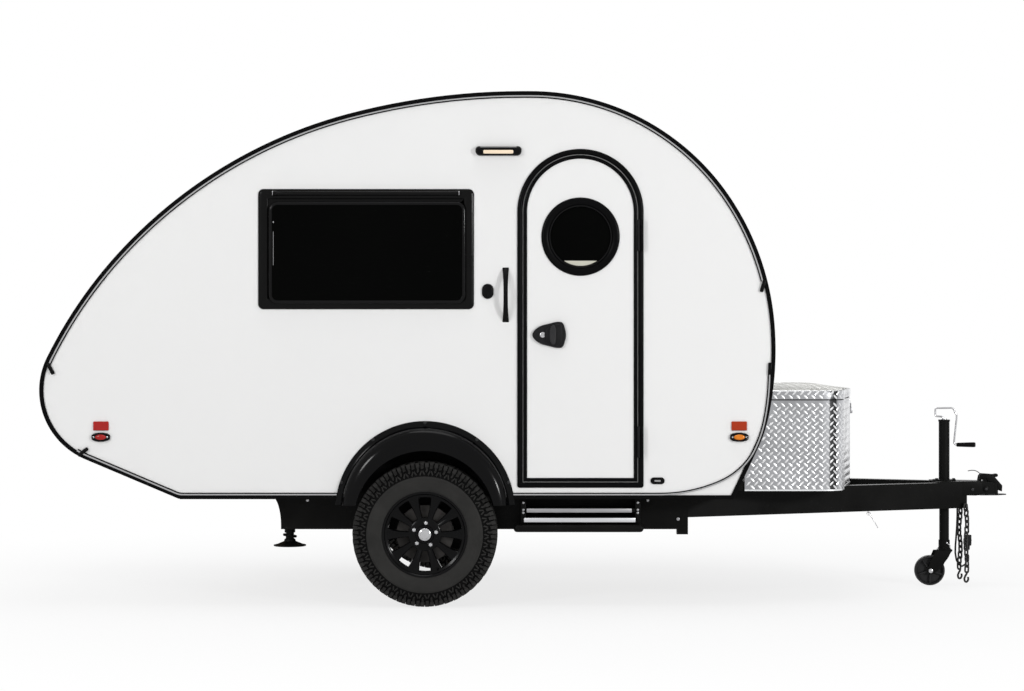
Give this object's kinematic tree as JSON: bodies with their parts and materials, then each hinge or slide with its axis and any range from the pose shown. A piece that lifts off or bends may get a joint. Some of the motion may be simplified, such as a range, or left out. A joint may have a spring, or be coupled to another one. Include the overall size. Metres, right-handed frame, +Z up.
{
  "type": "teardrop camping trailer",
  "caption": "Single-axle teardrop camping trailer with a side entry door, tread-plate front box and a caster jack, parked unhitched.",
  "frame": {"origin": "on the ground, under the middle of the whole length and width", "axes": "+X forward to the coupler, +Y to the trailer's left, +Z up"},
  "size_m": [4.948, 2.09, 2.5842],
  "materials": {
    "black_frame": "satin black chassis paint",
    "tyre": "black rubber",
    "wheel_gloss": "gloss black wheel paint",
    "drum_iron": "bare cast iron",
    "guard_gloss": "gloss black moulding",
    "housing_plastic": "black pressed liner",
    "floor_ply": "sealed plywood",
    "white_skin": "gloss white",
    "trim_black": "satin black with a bright rail",
    "window_dark": "dark tinted acrylic",
    "latch_black": "moulded black",
    "vent_plastic": "moulded white",
    "fitting_black": "moulded black",
    "lamp_lens": "ribbed red and amber lenses",
    "plate_blank": "plain blank plate",
    "step_alu": "ribbed tread",
    "tread_plate": "bright raised tread plate",
    "zinc": "zinc plated",
    "chain_steel": "blackened steel links",
    "cable_rubber": "black jacket",
    "plug_plastic": "moulded black",
    "cabinet_wood": "pale veneer",
    "cushion_cloth": "grey woven cloth",
    "caster_plastic": "hard black plastic"
  },
  "bodies": {
    "trailer": {"main_rail_right": "black_frame", "main_rail_left": "black_frame", "drawbar_right": "black_frame", "drawbar_left": "black_frame", "cross_members": "black_frame", "axle_beam": "black_frame", "axle_arm_right": "black_frame", "axle_arm_left": "black_frame", "mudguard_right": "guard_gloss", "mudguard_left": "guard_gloss", "wheel_housings": "housing_plastic", "floor": "floor_ply", "side_wall_right": "white_skin", "side_wall_left": "white_skin", "front_panel": "white_skin", "roof_panel": "white_skin", "rear_panel": "white_skin", "rear_lower_panel": "white_skin", "edge_trim_right": "trim_black", "edge_trim_left": "trim_black", "door_frame": "trim_black", "side_window_right": "window_dark", "side_window_left": "window_dark", "rear_window": "window_dark", "roof_vent": "vent_plastic", "grab_handle": "fitting_black", "porch_light": "fitting_black", "side_fittings": "fitting_black", "marker_lamps": "lamp_lens", "tail_lamps": "lamp_lens", "number_plate": "plate_blank", "entry_step": "step_alu", "stabilizer_mounts": "black_frame", "front_box": "tread_plate", "box_latch": "zinc", "coupler": "black_frame", "jack_tube": "black_frame", "jack_crank": "zinc", "safety_chains": "chain_steel", "cable_grommet": "plug_plastic", "light_cable": "cable_rubber", "light_plug": "plug_plastic", "galley_cabinet": "cabinet_wood", "bench_base": "cabinet_wood", "bench_cushions": "cushion_cloth"},
    "wheel_right": {"tyre_right": "tyre", "wheel_rim_right": "wheel_gloss", "brake_drum_right": "drum_iron"},
    "wheel_left": {"tyre_left": "tyre", "wheel_rim_left": "wheel_gloss", "brake_drum_left": "drum_iron"},
    "entry_door": {"entry_door": "white_skin", "door_pane": "window_dark", "door_latch": "latch_black"},
    "box_lid": {"box_lid": "tread_plate"},
    "stabilizer_right": {"stabilizer_leg_right": "black_frame"},
    "stabilizer_left": {"stabilizer_leg_left": "black_frame"},
    "jack_leg": {"jack_leg": "black_frame"},
    "caster_fork": {"caster_fork": "black_frame"},
    "caster_wheel": {"caster_wheel": "caster_plastic"}
  },
  "joints": [
    {"name": "wheel_right_spin", "type": "hinge", "parent": "trailer", "child": "wheel_right", "pos_m": [-0.584, -0.9225, 0.356], "axis": [0, 1, 0], "continuous": true},
    {"name": "wheel_left_spin", "type": "hinge", "parent": "trailer", "child": "wheel_left", "pos_m": [-0.584, 0.9225, 0.356], "axis": [0, 1, 0], "continuous": true},
    {"name": "door_swing", "type": "hinge", "parent": "trailer", "child": "entry_door", "pos_m": [0.4775, -0.985, 1.283], "axis": [0, 0, 1], "range_deg": [0, 150]},
    {"name": "lid_lift", "type": "hinge", "parent": "trailer", "child": "box_lid", "pos_m": [1.144, 0, 1.059], "axis": [0, -1, 0], "range_deg": [0, 80]},
    {"name": "stabilizer_right_drop", "type": "slide", "parent": "trailer", "child": "stabilizer_right", "axis": [0, 0, -1], "range_m": [0, 0.17]},
    {"name": "stabilizer_left_drop", "type": "slide", "parent": "trailer", "child": "stabilizer_left", "axis": [0, 0, -1], "range_m": [0, 0.17]},
    {"name": "jack_lift", "type": "slide", "parent": "trailer", "child": "jack_leg", "axis": [0, 0, -1], "range_m": [-0.17, 0.1]},
    {"name": "caster_swivel", "type": "hinge", "parent": "jack_leg", "child": "caster_fork", "pos_m": [2.144, 0, 0.19], "axis": [0, 0, 1], "range_deg": [-105, 105]},
    {"name": "caster_roll", "type": "hinge", "parent": "caster_fork", "child": "caster_wheel", "pos_m": [2.066, 0, 0.08], "axis": [0, 1, 0], "continuous": true}
  ]
}
